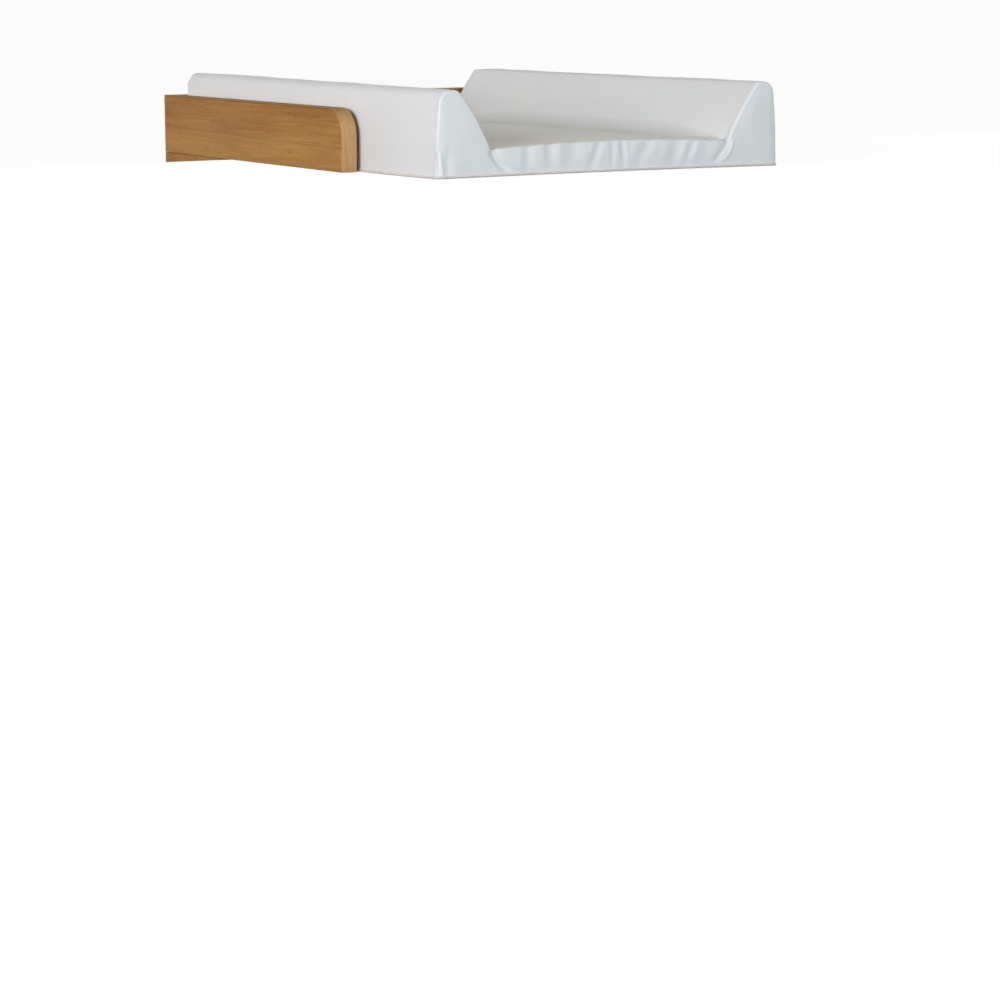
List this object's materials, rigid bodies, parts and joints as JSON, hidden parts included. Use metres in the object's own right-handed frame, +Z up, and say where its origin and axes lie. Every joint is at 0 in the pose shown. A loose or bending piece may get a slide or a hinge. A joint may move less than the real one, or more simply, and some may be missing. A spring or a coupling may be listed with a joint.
{
  "type": "dresser top changer",
  "caption": "Low three-sided oak frame that reaches out behind a chest of drawers, with a wedge-sided padded changing mat lying in it.",
  "frame": {"origin": "middle of the top back edge of the furniture that carries the changer: x = 0 in the changer's middle plane, y = 0 on that furniture's back face, z = 0 on its top", "axes": "+X to the right seen from the open front end, +Y from the open front end to the back board, +Z up"},
  "size_m": [0.595, 0.7483, 0.1956],
  "materials": {
    "oak": "satin",
    "oak_edge": "satin",
    "beech": "matte",
    "screw_steel": "satin",
    "bracket_steel": "satin",
    "zinc": "satin",
    "foam": "matte",
    "cover": "satin",
    "cover_underside": "matte",
    "welt": "satin",
    "zip_tape": "matte",
    "zip_coil": "satin"
  },
  "bodies": {
    "frame": {"side_board_left": "oak", "side_board_right": "oak", "back_board": "oak", "base_panel": "oak", "edge_band_left": "oak_edge", "edge_band_right": "oak_edge", "edge_band_back": "oak_edge", "corner_dowel_1": "beech", "corner_dowel_2": "beech", "corner_dowel_3": "beech", "corner_dowel_4": "beech", "cam_bolt_left": "screw_steel", "cam_bolt_right": "screw_steel", "cam_disc_left": "zinc", "cam_disc_right": "zinc", "base_screw_1": "screw_steel", "base_screw_2": "screw_steel", "base_screw_3": "screw_steel", "base_screw_4": "screw_steel", "base_screw_5": "screw_steel", "base_screw_6": "screw_steel", "base_screw_7": "screw_steel", "bracket_left": "bracket_steel", "bracket_right": "bracket_steel", "bracket_screw_1": "screw_steel", "bracket_screw_2": "screw_steel", "bracket_screw_3": "screw_steel", "bracket_screw_4": "screw_steel"},
    "mat": {"foam_mattress": "foam", "foam_bolster_left": "foam", "foam_bolster_right": "foam", "cover_top": "cover", "cover_front": "cover", "cover_back": "cover", "cover_base": "cover_underside", "cover_welt": "welt", "zip_tape_upper": "zip_tape", "zip_tape_lower": "zip_tape", "zip_coil_upper": "zip_coil", "zip_coil_lower": "zip_coil", "zip_stop_left": "zinc", "zip_stop_right": "zinc"},
    "zip_slider": {"zip_slider": "zinc"},
    "zip_pull": {"zip_pull": "zinc"}
  },
  "joints": [
    {"name": "mat_lift", "type": "slide", "parent": "frame", "child": "mat", "axis": [0, 0, 1], "range_m": [0, 0.2]},
    {"name": "zip_slide", "type": "slide", "parent": "mat", "child": "zip_slider", "axis": [-1, 0, 0], "range_m": [0, 0.4095]},
    {"name": "zip_pull_swing", "type": "hinge", "parent": "zip_slider", "child": "zip_pull", "pos_m": [0.20475, 0.1898, 0.0135], "axis": [0, 0, 1], "range_deg": [0, 180]}
  ]
}
